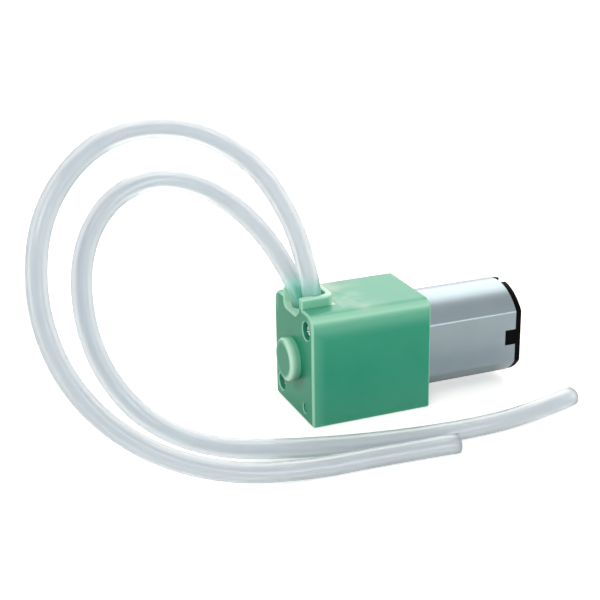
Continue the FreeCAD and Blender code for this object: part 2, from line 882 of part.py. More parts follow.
def make_pins(stage):
    pins = []
    for index, angle in enumerate(planet_angles()):
        degrees = math.degrees(angle)
        pins.append(rod(f"stage{stage}_pin_{index + 1}", "pin_radius",
                        "carrier_thickness + planet_gap + gear_width + pin_overhang",
                        f"stage{stage}_plate",
                        f"planet_orbit * cos({degrees})",
                        f"axis_height + planet_orbit * sin({degrees})"))
    return group(f"stage{stage}_pins", pins)


def make_planets(stage):
    teeth = int(number("planet_teeth"))
    orbit = number("planet_orbit")
    bore = number("pin_radius + planet_fit")
    planets = []
    for letter, angle in zip("abcdef", planet_angles()):
        phase = math.pi / teeth
        gear = feature_of(f"stage{stage}_planet_{letter}",
                          gear_shape(teeth, phase, number("gear_width"), bore),
                          at_axis(number(f"stage{stage}_gears"),
                                  orbit * math.cos(angle), orbit * math.sin(angle)))
        planets.append(gear)
    return planets


# Motor

def make_motor_plate():
    blank = flatted_rod("plate_blank", "motor_radius", "motor_half_flat", "plate_thickness",
                        "motor_plate_front")
    tools = [rod("plate_bore", "motor_bush_radius + plate_bore_margin", "plate_thickness",
                 "motor_plate_front")]
    for side, sign in (("upper", "+"), ("lower", "-")):
        tools.append(revolved(f"{side}_plate_hole", [
            ("motor_plate_front", "0"), ("motor_front", "0"),
            ("motor_front", "motor_screw_radius"),
            ("motor_plate_front + motor_screw_head_radius - motor_screw_radius",
             "motor_screw_radius"),
            ("motor_plate_front", "motor_screw_head_radius"),
        ], "0", f"axis_height {sign} motor_screw_spread"))
    return cut("motor_plate", blank, fuse("plate_hollows", tools))


def make_motor_screws():
    screws = []
    for side, sign in (("upper", "+"), ("lower", "-")):
        end = "motor_plate_front + motor_screw_length"
        screws.append(revolved(f"{side}_motor_screw", [
            ("motor_plate_front", "0"), (end, "0"), (end, "motor_screw_radius"),
            ("motor_plate_front + motor_screw_head_radius - motor_screw_radius",
             "motor_screw_radius"),
            ("motor_plate_front", "motor_screw_head_radius"),
        ], "0", f"axis_height {sign} motor_screw_spread"))
    return group("motor_screws", screws)


def make_motor_can():
    blank = rounded("can_blank", "can_crease_radius",
                    flatted_rod("can_bar", "motor_radius", "motor_half_flat", "can_length",
                                "motor_front"),
                    lambda e: straight_along(e, "x"))
    hollow = flatted_rod("can_hollow", "motor_radius - can_wall", "motor_half_flat - can_wall",
                         "can_length - can_wall", "motor_front + can_wall")
    tools = [
        hollow,
        rod("can_bush_bore", "motor_bush_radius", "can_wall", "motor_front"),
        block("can_side_notches", "end_bell_plug", "2 * (motor_half_flat + overcut)",
              "side_tab_width", "plug_front"),
    ]
    for side, sign in (("upper", "+"), ("lower", "-")):
        tools.append(rod(f"{side}_can_hole", "motor_screw_radius", "can_wall", "motor_front",
                         "0", f"axis_height {sign} motor_screw_spread"))
    return cut("motor_can", blank, fuse("can_hollows", tools))


def make_end_bell():
    plug = flatted_rod("bell_plug", "motor_radius - can_wall", "motor_half_flat - can_wall",
                       "end_bell_plug", "plug_front")
    rim = flatted_rod("bell_rim", "motor_radius - end_bell_inset",
                      "motor_half_flat - end_bell_inset", "end_bell_rim", "can_rear")
    tabs = block("bell_side_tabs", "end_bell_plug",
                 "2 * (motor_half_flat - end_bell_inset)", "side_tab_width", "plug_front")
    boss = rod("bell_boss", "rear_boss_radius", "rear_boss_length", "bell_rear")
    notches = [
        block(f"{side}_notch", "end_bell_rim", "terminal_notch_width", "terminal_notch_depth",
              "can_rear", "0",
              f"axis_height {sign} (motor_radius - terminal_notch_depth / 2)")
        for side, sign in (("upper", "+"), ("lower", "-"))
    ]
    bush_bore = rod("bell_bush_bore", "motor_bush_radius", "motor_bush_length",
                    "boss_rear - motor_bush_length")
    shaft_bore = rod("bell_shaft_bore", "motor_shaft_radius + end_bell_bore_gap",
                     "boss_rear - (plug_front)", "plug_front")
    return cut("end_bell", fuse("bell_blank", [plug, rim, tabs, boss]),
               fuse("bell_hollows", [*notches, bush_bore, shaft_bore]))


def make_terminals():
    tabs = []
    for side, sign in (("upper", "+"), ("lower", "-")):
        middle = (f"axis_height {sign} (motor_radius - terminal_notch_depth"
                  " + terminal_thickness / 2)")
        tabs.append(block(f"{side}_terminal", "end_bell_rim",
                          "terminal_notch_width - 2 * terminal_side_gap",
                          "terminal_thickness", "can_rear", "0", middle))
    return group("terminals", tabs)


def make_field_magnets():
    start = "core_front - magnet_overhang"
    length = "core_length + 2 * magnet_overhang"
    ring = sleeve("magnet_ring", "magnet_inner_radius", "magnet_outer_radius", start, length)
    span = block("magnet_span", length, "2 * magnet_half_width", "2 * motor_radius", start)
    return common("field_magnets", ring, span)


def make_motor_bushes():
    return [
        sleeve("motor_front_bush", "motor_shaft_radius + running_fit", "motor_bush_radius",
               "motor_front", "motor_bush_length"),
        sleeve("motor_rear_bush", "motor_shaft_radius + running_fit", "motor_bush_radius",
               "boss_rear - motor_bush_length", "motor_bush_length"),
    ]


def make_brushes():
    strips = []
    for side, sign in (("near", "-"), ("far", "+")):
        middle = f"{sign}(commutator_radius + running_fit + brush_thickness / 2)"
        strips.append(block(f"{side}_brush", "brush_length", "brush_thickness", "brush_width",
                            "plug_front - brush_length", middle))
    return group("brushes", strips)


def make_motor_shaft():
    start = "stage1_gears + sun_end_gap"
    end = "boss_rear - shaft_recess"
    return revolved("motor_shaft", [(start, "0"), (end, "0"),
                                    (end, "motor_shaft_radius - shaft_chamfer"),
                                    (f"{end} - shaft_chamfer", "motor_shaft_radius"),
                                    (start, "motor_shaft_radius")])


def make_motor_pinion():
    start = number("stage1_gears + sun_end_gap")
    length = number("gear_width + 2 * sun_end_gap")
    gear = gear_shape(int(number("sun_teeth")), 0, length, number("motor_shaft_radius"))
    return feature_of("motor_pinion", gear, at_axis(start))


def make_armature_core():
    body = new_body("armature_core", "0", "0", "axis_height")
    sketch = sketch_on(body, "YZ_Plane", "core_front")
    circle(sketch, "core_radius")
    circle(sketch, "core_radius - core_shoe")
    pad(body, sketch, "core_length")
    sketch = sketch_on(body, "YZ_Plane", "core_front")
    rectangle(sketch, "(motor_shaft_radius + core_hub_radius) / 2",
              "core_radius - core_shoe / 2", "-core_arm_width / 2", "core_arm_width / 2")
    body.AllowCompound = True
    around(body, pad(body, sketch, "core_length"), "pole_count")
    sketch = sketch_on(body, "YZ_Plane", "core_front")
    circle(sketch, "core_hub_radius")
    pad(body, sketch, "core_length")
    sketch = sketch_on(body, "YZ_Plane", "core_front")
    circle(sketch, "motor_shaft_radius")
    pocket(body, sketch, "core_length")
    sketch = sketch_on(body, "YZ_Plane", "core_front")
    rectangle(sketch, "-core_radius - overcut", "-core_hub_radius - overcut",
              "-core_slot_width / 2", "core_slot_width / 2")
    around(body, pocket(body, sketch, "core_length"), "pole_count")
    return body


def make_armature_windings():
    coils = sleeve("coil_ring", "core_hub_radius + winding_gap",
                   "core_radius - core_shoe - winding_gap", "core_front - winding_overhang",
                   "core_length + 2 * winding_overhang")
    arms = new_body("coil_hollows", "0", "0", "axis_height")
    sketch = sketch_on(arms, "YZ_Plane", "core_front - winding_gap")
    rectangle(sketch, "motor_shaft_radius", "core_radius", "-core_arm_width / 2 - winding_gap",
              "core_arm_width / 2 + winding_gap")
    around(arms, pad(arms, sketch, "core_length + 2 * winding_gap"), "pole_count")
    gaps = new_body("coil_gaps", "0", "0", "axis_height")
    sketch = sketch_on(gaps, "YZ_Plane", "core_front - winding_overhang - overcut")
    rectangle(sketch, "-core_radius", "-motor_shaft_radius",
              "-core_slot_width / 2", "core_slot_width / 2")
    around(gaps, pad(gaps, sketch, "core_length + 2 * (winding_overhang + overcut)"),
           "pole_count")
    return cut("armature_windings", coils, fuse("coil_cuts", [arms, gaps]))


def make_commutator():
    ring = sleeve("commutator_ring", "motor_shaft_radius", "commutator_radius",
                  "commutator_front", "commutator_length")
    slots = new_body("commutator_slots", "0", "0", "axis_height")
    sketch = sketch_on(slots, "YZ_Plane", "commutator_front")
    rectangle(sketch, "commutator_radius - commutator_slot_depth",
              "commutator_radius + overcut", "-commutator_slot / 2", "commutator_slot / 2")
    slots.AllowCompound = True
    around(slots, pad(slots, sketch, "commutator_length"), "pole_count")
    return cut("commutator", ring, slots)


# Tubes

def make_tube_loop():
    loop = tube_solid("tube_loop", loop_points(), number("tube_radius"))
    reach = number("press_ring_radius + tube_clearance")
    centre = Vector(number("chamber_front"), 0, number("axis_height - eccentricity"))
    ring_space = Part.makeCylinder(reach, number("chamber_depth"), centre, Vector(1, 0, 0))
    return feature_of("tube_loop", loop.cut(ring_space))


def make_free_tube(name, route):
    """A free tube: it starts where the loop ends, and its open end takes a barb."""
    points = [share_point(route[0], route[1], loop_share), *route[1:]]
    tube = tube_solid(name, points, number("tube_radius"))
    end = Vector(*points[-1])
    inward = (Vector(*points[-2]) - end).normalize()
    bore = Part.makeCylinder(number("tube_bore_radius"), number("tube_bore_length"), end, inward)
    return feature_of(name, tube.cut(bore))


sub_parts = [
    make_pump_housing(),
    make_gear_case(),
    make_housing_screws(),
    make_rotor_front_bush(),
    make_rotor_rear_bush(),
    make_rotor_shaft(),
    make_eccentric_cam(),
    make_thrust_washers(),
    make_press_ring(),
    make_carrier(3, "rotor_shaft_radius"),
    make_carrier(2, None),
    make_carrier(1, None),
    *[make_pins(stage) for stage in (1, 2, 3)],
    *[gear for stage in (1, 2, 3) for gear in make_planets(stage)],
    make_motor_plate(),
    make_motor_screws(),
    make_motor_can(),
    make_end_bell(),
    make_terminals(),
    make_field_magnets(),
    *make_motor_bushes(),
    make_brushes(),
    make_motor_shaft(),
    make_motor_pinion(),
    make_armature_core(),
    make_armature_windings(),
    make_commutator(),
    make_tube_loop(),
    make_free_tube("inlet_tube", inlet_route),
    make_free_tube("outlet_tube", outlet_route),
]
doc.recompute()

for item in doc.Objects:
    if "Invalid" in item.State or "Error" in item.State:
        raise RuntimeError(f"{item.Label} failed: {item.State}")
for item in sub_parts:
    if item.Shape.isNull() or not item.Shape.isValid() or not item.Shape.Solids:
        raise RuntimeError(f"{item.Label} has no valid solid")

os.makedirs("parts", exist_ok=True)
for item in sub_parts:
    item.Shape.exportStep(f"parts/{item.Label}.step")
    print(f"{item.Label}: {len(item.Shape.Solids)} solids, {item.Shape.Volume:.2f} mm3")
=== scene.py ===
import json
import math

import bmesh
import bpy
from mathutils import Matrix, Vector


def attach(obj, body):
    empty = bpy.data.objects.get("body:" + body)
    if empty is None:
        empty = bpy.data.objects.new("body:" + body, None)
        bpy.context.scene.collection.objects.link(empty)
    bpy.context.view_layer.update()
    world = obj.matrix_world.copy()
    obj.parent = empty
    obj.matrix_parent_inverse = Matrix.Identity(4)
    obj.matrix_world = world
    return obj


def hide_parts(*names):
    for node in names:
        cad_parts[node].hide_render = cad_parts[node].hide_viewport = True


with open("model.json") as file:
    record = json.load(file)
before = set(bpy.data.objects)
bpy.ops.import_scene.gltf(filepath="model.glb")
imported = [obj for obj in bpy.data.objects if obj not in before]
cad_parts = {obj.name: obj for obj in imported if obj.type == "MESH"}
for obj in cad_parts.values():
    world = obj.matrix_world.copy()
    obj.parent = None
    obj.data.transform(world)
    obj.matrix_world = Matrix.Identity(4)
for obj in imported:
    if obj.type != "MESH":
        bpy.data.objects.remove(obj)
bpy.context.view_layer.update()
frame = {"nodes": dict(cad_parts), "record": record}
scene = bpy.context.scene
print("frame loaded")


# Small helpers for meshes

mergeDistance = 1e-7  # corners closer than this are one corner


def makeObject(name, mesh):
    piece = bpy.data.objects.new(name, mesh)
    scene.collection.objects.link(piece)
    return piece


def evaluatedMesh(piece):
    depsgraph = bpy.context.evaluated_depsgraph_get()
    return bpy.data.meshes.new_from_object(piece.evaluated_get(depsgraph), depsgraph=depsgraph)


def bakeModifiers(piece):
    mesh = evaluatedMesh(piece)
    piece.modifiers.clear()
    piece.data = mesh


# Node trees written as expressions

class Wire:  # one socket of a node tree that takes part in plain arithmetic
    def __init__(self, board, socket):
        self.board = board
        self.socket = socket

    def maths(self, operation, other, swapped=False):
        first, second = (other, self) if swapped else (self, other)
        return self.board.add("ShaderNodeMath", {"operation": operation}, {0: first, 1: second})

    def __add__(self, other):
        return self.maths("ADD", other)

    def __radd__(self, other):
        return self.maths("ADD", other, True)

    def __sub__(self, other):
        return self.maths("SUBTRACT", other)

    def __rsub__(self, other):
        return self.maths("SUBTRACT", other, True)

    def __mul__(self, other):
        return self.maths("MULTIPLY", other)

    def __rmul__(self, other):
        return self.maths("MULTIPLY", other, True)

    def __truediv__(self, other):
        return self.maths("DIVIDE", other)

    def __rtruediv__(self, other):
        return self.maths("DIVIDE", other, True)

    def __pow__(self, other):
        return self.maths("POWER", other)

    def __abs__(self):
        return self.maths("ABSOLUTE", 0.0)

    def atLeast(self, other):  # the larger of the two
        return self.maths("MAXIMUM", other)

    def rising(self, low, high):  # 0 below low, 1 above high, smooth between
        inputs = {"Value": self, "From Min": low, "From Max": high}
        return self.board.add("ShaderNodeMapRange", {"interpolation_type": "SMOOTHSTEP"}, inputs)

    def falling(self, low, high):
        return 1 - self.rising(low, high)

    def parts(self):  # the three numbers of a vector
        node = self.board.add("ShaderNodeSeparateXYZ", inputs={0: self}).socket.node
        return [Wire(self.board, socket) for socket in node.outputs]


class Board:  # a node tree, of a material, a world or a geometry modifier
    def __init__(self, tree):
        self.tree = tree

    def add(self, kind, settings=None, inputs=None, output=0):
        node = self.tree.nodes.new(kind)
        for name, value in (settings or {}).items():
            setattr(node, name, value)
        for name, value in (inputs or {}).items():
            if isinstance(value, Wire):
                self.tree.links.new(value.socket, node.inputs[name])
            else:
                node.inputs[name].default_value = value
        return Wire(self, node.outputs[output]) if node.outputs else None

    def seenRays(self):  # three switches: straight from the camera, off a gloss, through glass
        rays = self.add("ShaderNodeLightPath").socket.node.outputs
        kinds = ("Camera", "Glossy", "Transmission")
        return [Wire(self, rays[f"Is {kind} Ray"]) for kind in kinds]

    def vector(self, x, y, z):
        return self.add("ShaderNodeCombineXYZ", inputs={0: x, 1: y, 2: z})


class Finish(Board):  # a procedural material
    def __init__(self, name):
        self.material = bpy.data.materials.new(name)
        self.material.use_nodes = True
        super().__init__(self.material.node_tree)
        self.tree.nodes.clear()
        self.place = self.add("ShaderNodeTexCoord", output="Object")
        self.facing = Wire(self, self.place.socket.node.outputs["Normal"])

    def stretched(self, x, y, z):
        return self.add("ShaderNodeMapping", inputs={"Vector": self.place, "Scale": (x, y, z)})

    def noise(self, scale, detail=2.0, roughness=0.5, vector=None):
        inputs = {"Vector": vector or self.place, "Scale": scale,
                  "Detail": detail, "Roughness": roughness}
        return self.add("ShaderNodeTexNoise", inputs=inputs)

    def mixed(self, factor, first, second):
        inputs = {"Factor": factor, 6: first, 7: second}
        return self.add("ShaderNodeMix", {"data_type": "RGBA"}, inputs, 2)

    def layered(self, colour, mask, layer):  # a layer is its strength and its tint
        strength, tone = layer
        return self.mixed(strength * mask, colour, tone)

    def bump(self, height, strength, distance):
        inputs = {"Height": height, "Strength": strength, "Distance": distance}
        return self.add("ShaderNodeBump", inputs=inputs)

    def surface(self, **values):
        inputs = {name.replace("_", " "): value for name, value in values.items()}
        shader = self.add("ShaderNodeBsdfPrincipled", inputs=inputs)
        self.add("ShaderNodeOutputMaterial", inputs={"Surface": shader})
        return self.material


def tint(red, green, blue):  # a colour as seen on a screen, 0 to 255, turned into light levels
    levels = [value / 255 for value in (red, green, blue)]
    linear = [((level + 0.055) / 1.055) ** 2.4 if level > 0.04 else level / 12.92
              for level in levels]
    return (*linear, 1)


def openTree(name, source, numbers, counts):  # a Geometry Nodes tree with its named inputs
    tree = bpy.data.node_groups.new(name, "GeometryNodeTree")
    wanted = [(source, "Geometry")] + [(label, "Float") for label in numbers]
    wanted += [(label, "Int") for label in counts] + [("Finish", "Material")]
    for label, kind in wanted:
        tree.interface.new_socket(label, in_out="INPUT", socket_type=f"NodeSocket{kind}")
    tree.interface.new_socket("Result", in_out="OUTPUT", socket_type="NodeSocketGeometry")
    board = Board(tree)
    given = tree.nodes.new("NodeGroupInput")
    wires = {socket.name: Wire(board, socket) for socket in given.outputs if socket.name}
    return board, wires


def closeTree(board, shape, finish):
    solid = board.add("GeometryNodeRealizeInstances", inputs={"Geometry": shape})
    coated = board.add("GeometryNodeSetMaterial", inputs={"Geometry": solid, "Material": finish})
    board.add("NodeGroupOutput", inputs={"Result": coated})
    return board.tree


def setInputs(modifier, values):
    for socket in modifier.node_group.interface.items_tree:
        if socket.in_out == "INPUT" and socket.name in values:
            modifier[socket.identifier] = values[socket.name]


# Camera

cameraFacts = {
    "place": (-0.060677, -0.134937, 0.067955),
    "azimuth": math.radians(-21.778),
    "elevation": math.radians(20.288),
    "roll": math.radians(-0.951),
    "lens": 77.78,
    "sensor": 36,
    "nearest": 0.01,
    "farthest": 10,
}


def makeCamera(facts):
    data = bpy.data.cameras.new("camera")
    data.lens = facts["lens"]
    data.sensor_width = facts["sensor"]
    data.clip_start = facts["nearest"]
    data.clip_end = facts["farthest"]
    camera = bpy.data.objects.new("camera", data)
    scene.collection.objects.link(camera)
    across, up = facts["azimuth"], facts["elevation"]
    level = math.cos(up)
    back = Vector((math.sin(across) * level, -math.cos(across) * level, math.sin(up)))
    right = Vector((0, 0, 1)).cross(back).normalized()
    top = back.cross(right)
    turn = Matrix((right, top, back)).transposed() @ Matrix.Rotation(facts["roll"], 3, "Z")
    camera.matrix_world = Matrix.Translation(facts["place"]) @ turn.to_4x4()
    scene.camera = camera


makeCamera(cameraFacts)
print("camera placed")


# Silicone tubes

tubeFacts = {
    "radius": 0.00115,
    "wall": 0.00065,
    "sides": 40,
    "smoothSteps": 14,
    "curveOrder": 3,
}
inletRoute = [
    (-0.00558, 0.00135, 0.012),
    (-0.00588, 0.0012, 0.0131),
    (-0.0076, 0.001, 0.0175),
    (-0.0116, 0.0003, 0.024),
    (-0.0176, -0.0005, 0.0296),
    (-0.0239, -0.0011, 0.0318),
    (-0.0296, -0.002, 0.0301),
    (-0.0332, -0.0031, 0.0251),
    (-0.034, -0.0045, 0.0182),
    (-0.0325, -0.0062, 0.0116),
    (-0.0284, -0.008, 0.0057),
    (-0.0216, -0.0098, 0.002),
    (-0.0123, -0.0121, 0.00116),
    (-0.0012, -0.0147, 0.00116),
    (0.0105, -0.0156, 0.00116),
    (0.0186, -0.0141, 0.00116),
    (0.0239, -0.0125, 0.00116),
]
outletRoute = [
    (-0.0052, -0.00135, 0.01225),
    (-0.0055, -0.0012, 0.0136),
    (-0.006, -0.001, 0.0177),
    (-0.0078, -0.0006, 0.0246),
    (-0.0124, -0.0007, 0.0322),
    (-0.0207, -0.0019, 0.0374),
    (-0.0305, -0.0044, 0.0378),
    (-0.0379, -0.0075, 0.0318),
    (-0.0401, -0.0105, 0.0226),
    (-0.0378, -0.0133, 0.0136),
    (-0.0313, -0.0154, 0.0064),
    (-0.0222, -0.0169, 0.0023),
    (-0.0127, -0.0174, 0.00116),
    (-0.0034, -0.0175, 0.00116),
    (0.0051, -0.0182, 0.00116),
]


def routeCurve(name, route):
    data = bpy.data.curves.new(name, "CURVE")
    data.dimensions = "3D"
    data.resolution_u = tubeFacts["smoothSteps"]
    spline = data.splines.new("NURBS")
    spline.points.add(len(route) - 1)
    for point, place in zip(spline.points, route):
        point.co = (*place, 1)
    spline.order_u = tubeFacts["curveOrder"]
    spline.use_endpoint_u = True
    return makeObject(name, data)


siliconeFacts = {
    "cloudy": tint(228, 235, 241),
    "clear": tint(239, 244, 247),
    # painted shade: the inner skin darker, so that the bore shows as a darker core
    "shadedBore": tint(212, 223, 230),
    # painted light: the tubes lighter where they rise from the collar
    "litNearFoot": (0.5, tint(246, 250, 254)),
    # painted shade: the far loop of the tubes greyer
    "shadedFarLoop": (0.3, tint(206, 216, 224)),
    "inCollar": (0.9, tint(158, 252, 234)),  # the housing's green shines through
    "collarZone": {"along": (-0.0096, -0.0084), "across": (-0.006, -0.005),
                   "height": (0.0142, 0.0182)},
    "footZone": {"along": (-0.018, -0.01), "height": (0.014, 0.018)},
    "farZone": {"along": (-0.036, -0.026)},
    "cloud": (420, 3),  # noise scale and detail
    "haze": (5200, 2),
    "waves": (700, 1),
    "waveBump": (0.05, 0.00002),  # strength and height
    "roughness": 0.34,  # below 0.3 the tubes turn grainy
    "hazeRoughness": 0.05,
    "refraction": 1.41,
    "clearness": 0.68,
    "coat": 0.8,
    "coatRoughness": 0.1,
}


def siliconeFinish(facts):
    finish = Finish("silicone")
    colour = finish.mixed(finish.noise(*facts["cloud"]), facts["cloudy"], facts["clear"])
    inner = finish.add("ShaderNodeAttribute", {"attribute_name": "inner"}, output=2)
    along, across, height = finish.place.parts()
    collar, foot = facts["collarZone"], facts["footZone"]
    inCollar = height.falling(*collar["height"]) * along.rising(*collar["along"])
    inCollar = inCollar * across.rising(*collar["across"])
    # painted light on the tubes just above the collar
    litNearFoot = along.rising(*foot["along"]) * height.rising(*foot["height"])
    # painted shade, greyer towards the far loop
    shadedFarLoop = along.falling(*facts["farZone"]["along"])
    colour = finish.layered(colour, litNearFoot, facts["litNearFoot"])
    colour = finish.layered(colour, shadedFarLoop, facts["shadedFarLoop"])
    # painted shade on the inner skin, for a darker bore
    colour = finish.mixed(inner, colour, facts["shadedBore"])
    colour = finish.layered(colour, inCollar, facts["inCollar"])
    dull = facts["roughness"] + facts["hazeRoughness"] * finish.noise(*facts["haze"])
    waves = finish.bump(finish.noise(*facts["waves"]), *facts["waveBump"])
    return finish.surface(Base_Color=colour, Roughness=dull, Normal=waves,
                          IOR=facts["refraction"], Transmission_Weight=facts["clearness"],
                          Coat_Weight=facts["coat"], Coat_Roughness=facts["coatRoughness"])


def tubeTree():
    board, given = openTree("tube skin", "Route", ["Radius"], ["Sides"])
    path = board.add("GeometryNodeMeshToCurve", inputs={"Mesh": given["Route"]})
    ring = board.add("GeometryNodeCurvePrimitiveCircle",
                     inputs={"Resolution": given["Sides"], "Radius": given["Radius"]})
    skin = board.add("GeometryNodeCurveToMesh", inputs={"Curve": path, "Profile Curve": ring})
    smooth = board.add("GeometryNodeSetShadeSmooth", inputs={"Geometry": skin})
    return closeTree(board, smooth, given["Finish"])


def outwardFaces(mesh):
    work = bmesh.new()
    work.from_mesh(mesh)
    bmesh.ops.recalc_face_normals(work, faces=work.faces)
    work.to_mesh(mesh)
    work.free()


def markWalls(mesh, outerCount):  # tells the inner skin from the outer, and keeps the ends crisp
    inner = mesh.attributes.new("inner", "FLOAT", "POINT")
    for index, item in enumerate(inner.data):
        item.value = 0.0 if index < outerCount else 1.0
    for face in mesh.polygons[-2 * tubeFacts["sides"]:]:
        face.use_smooth = False


def makeTube(name, node, route, tree, material):
    curve = routeCurve(f"{name}Route", route)
    points = [tuple(vertex.co) for vertex in evaluatedMesh(curve).vertices]
    bpy.data.objects.remove(curve)
    line = bpy.data.meshes.new(name)
    line.from_pydata(points, [(i, i + 1) for i in range(len(points) - 1)], [])
    tube = makeObject(name, line)
    skin = tube.modifiers.new("skin", "NODES")
    skin.node_group = tree
    setInputs(skin, {"Radius": tubeFacts["radius"], "Sides": tubeFacts["sides"],
                     "Finish": material})
    bakeModifiers(tube)
    outwardFaces(tube.data)
    wall = tube.modifiers.new("wall", "SOLIDIFY")
    wall.thickness = tubeFacts["wall"]
    wall.offset = -1
    outerCount = len(tube.data.vertices)
    bakeModifiers(tube)
    markWalls(tube.data, outerCount)
    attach(tube, "pump_body")
    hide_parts(node)


silicone = siliconeFinish(siliconeFacts)
tubeSkin = tubeTree()
makeTube("inletTube", "inlet_tube", inletRoute, tubeSkin, silicone)
makeTube("outletTube", "outlet_tube", outletRoute, tubeSkin, silicone)


# Finishes

greenFacts = {
    "deep": tint(42, 147, 118),
    "plain": tint(58, 160, 130),
    "layers": {  # strength and tint, in the order in which they are laid
        # painted reflection of the floor: the plastic lighter towards the bottom
        "low": (0.5, tint(78, 162, 136)),
        # painted shade: faces that look towards the boss end darker
        "front": (0.6, tint(22, 138, 102)),
        # painted light shining through thin plastic: slot walls, collar, shoulders, boss and
        # corners lighter
        "shineThrough": (0.75, tint(136, 206, 178)),
        # painted shadow on the wall below the boss
        "shade": (0.8, tint(6, 92, 60)),
        # painted highlight on rounded edges, lips and rims
        "edge": (0.72, tint(184, 232, 208)),
        # painted glow on the boss rim, the slot walls and the collar rim
        "glow": (0.6, tint(224, 250, 236)),
        # painted sheen: whitish cloudy patches on the top behind the collar
        "sheenPatches": (0.6, tint(214, 226, 212)),
    },
    "shares": {  # how much a place counts in a layer
        "shoulderShineThrough": 0.7,
        "cornerShineThrough": 0.4,
        "shoulderTop": 0.4,
        "slotEdge": 0.85,
        "collarTopEdge": 0.75,
        "collarEdge": 0.1,
        "slotGlow": 0.7,
        "collarRimGlow": 0.6,
    },
    "flow": (170, 4, 0.55),  # noise scale, detail and roughness
    "cloud": (300, 2, 0.4),
    "grain": (9000, 3, 0.6),
    "pebbles": (1300, 2),
    "pebbleShare": 2,
    "grainBump": (0.12, 0.00001),
    "roughness": 0.29,
    "flowRoughness": 0.1,
    "sheenPatchRoughness": 0.12,
    "scatter": 0.35,
    "scatterDepth": 0.0005,
    "scatterShares": (0.35, 1, 0.75),
    "shine": 0.22,
    "axisHeight": 0.00691,
}
greenZones = {  # where a mask begins and ends to rise or fall: places in metres, or plain shares
    "sideFace": (0.0051, 0.0054),
    "topFace": (0.0131, 0.0134),
    "underside": (0.0006, 0.0009),
    "frontFace": (-0.0079, -0.00778),
    "edgeRound": (0.0, 0.16),
    "shoulderHeight": (0.0108, 0.013),
    "shoulderSide": (0.0043, 0.0052),
    "slotHeight": (0.0095, 0.012),
    "slotSide": (0.0025, 0.0028),
    "slotReach": (-0.0035, -0.0031),
    "slotFacing": (-0.9, -0.5),
    "bossReach": (-0.0079, -0.0077),
    "bossHeight": (0.0032, 0.0064),
    "bossFacing": (-0.8, -0.4),
    "rimRadius": (0.0018, 0.0026),
    "rimReach": (-0.00895, -0.0083),
    "glowReach": (-0.009, -0.0081),
    "glowSide": (-0.0016, 0.0006),
    "shadeRadius": (0.0029, 0.0046),
    "shadeHeight": (0.0052, 0.0084),
    "shadeSide": (-0.001, 0.001),
    "cornerReach": (-0.00765, -0.0058),
    "cornerSide": (0.0055, 0.0059),
    "lipReach": (-0.0079, -0.0078),
    "lipHeight": (0.0098, 0.0104),
    "floorReflectionHeight": (0.0, 0.007),
    "frontFacing": (-0.95, -0.7),
    "upFacing": (0.55, 0.95),
    "collarFoot": (0.0139, 0.0143),
    "collarTop": (0.0149, 0.0152),
    "collarRim": (0.0151, 0.0153),
    "sheenCloud": (0.3, 0.75),
    "sheenRear": (-0.002, 0.0036),
    "sheenFront": (-0.0034, -0.0026),
    "sheenFacing": (0.6, 0.95),
    "sheenHeight": (0.0135, 0.014),
}


